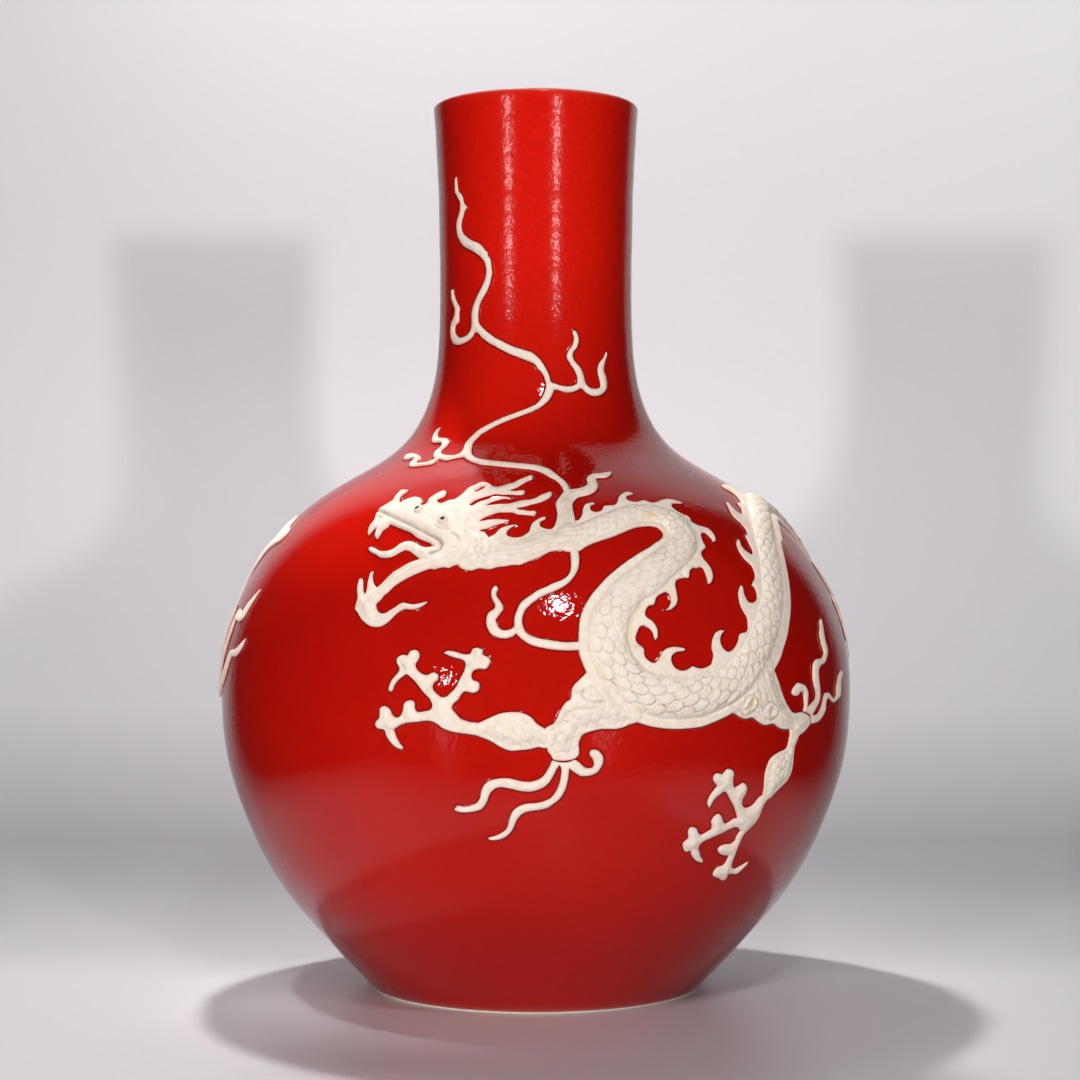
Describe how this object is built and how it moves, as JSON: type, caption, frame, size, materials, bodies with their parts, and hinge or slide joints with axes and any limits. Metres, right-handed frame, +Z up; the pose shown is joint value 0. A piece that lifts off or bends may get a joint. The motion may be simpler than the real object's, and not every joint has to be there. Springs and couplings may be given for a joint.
{
  "type": "tianqiuping vase",
  "caption": "Large globular porcelain vase with a tall straight neck, deep red glaze and an unglazed dragon applied in relief.",
  "frame": {"origin": "centre of the foot ring's underside, on the surface that the vase stands on", "axes": "+Z up along the vase's axis, -Y towards the viewer of the dragon's head, +X to that viewer's right"},
  "size_m": [0.4048, 0.4087, 0.56],
  "materials": {
    "glaze": "glossy deep red glaze",
    "biscuit": "matt unglazed porcelain",
    "pupil": "dark brown slip"
  },
  "bodies": {
    "root": {"body_arch": "biscuit", "body_back_rise": "biscuit", "body_belly": "biscuit", "body_bend": "biscuit", "body_crest": "biscuit", "body_descent": "biscuit", "body_low_bend": "biscuit", "body_rise": "biscuit", "body_shoulder": "biscuit", "crest_horn": "biscuit", "dragon_jaw": "biscuit", "dragon_neck": "biscuit", "dragon_skull": "biscuit", "dragon_tongue": "biscuit", "eye_far": "pupil", "eye_near": "pupil", "fang_front": "biscuit", "fang_rear": "biscuit", "foreleg_left_forearm": "biscuit", "foreleg_left_paw": "biscuit", "foreleg_left_ribbons": "biscuit", "foreleg_left_upper": "biscuit", "foreleg_right_forearm": "biscuit", "foreleg_right_paw": "biscuit", "foreleg_right_ribbons": "biscuit", "foreleg_right_upper": "biscuit", "fringe_arch": "biscuit", "fringe_back_rise": "biscuit", "fringe_belly": "biscuit", "fringe_bend": "biscuit", "fringe_crest": "biscuit", "fringe_hollow": "biscuit", "fringe_low_bend": "biscuit", "fringe_rise": "biscuit", "fringe_top": "biscuit", "hindleg_left_forearm": "biscuit", "hindleg_left_paw": "biscuit", "hindleg_left_ribbons": "biscuit", "hindleg_left_upper": "biscuit", "hindleg_right": "biscuit", "mane_lock_1": "biscuit", "mane_lock_2": "biscuit", "mane_lock_3": "biscuit", "mane_lock_4": "biscuit", "neck_fin_front": "biscuit", "neck_fin_rear": "biscuit", "streamer_branch_left": "biscuit", "streamer_branch_low": "biscuit", "streamer_branch_right": "biscuit", "streamer_lower": "biscuit", "streamer_lower_curl": "biscuit", "streamer_upper": "biscuit", "tail": "biscuit", "tail_tuft": "biscuit", "vase_foot": "glaze", "vase_lower_globe": "glaze", "vase_neck": "glaze", "vase_shoulder": "glaze", "vase_upper_globe": "glaze"}
  },
  "joints": []
}
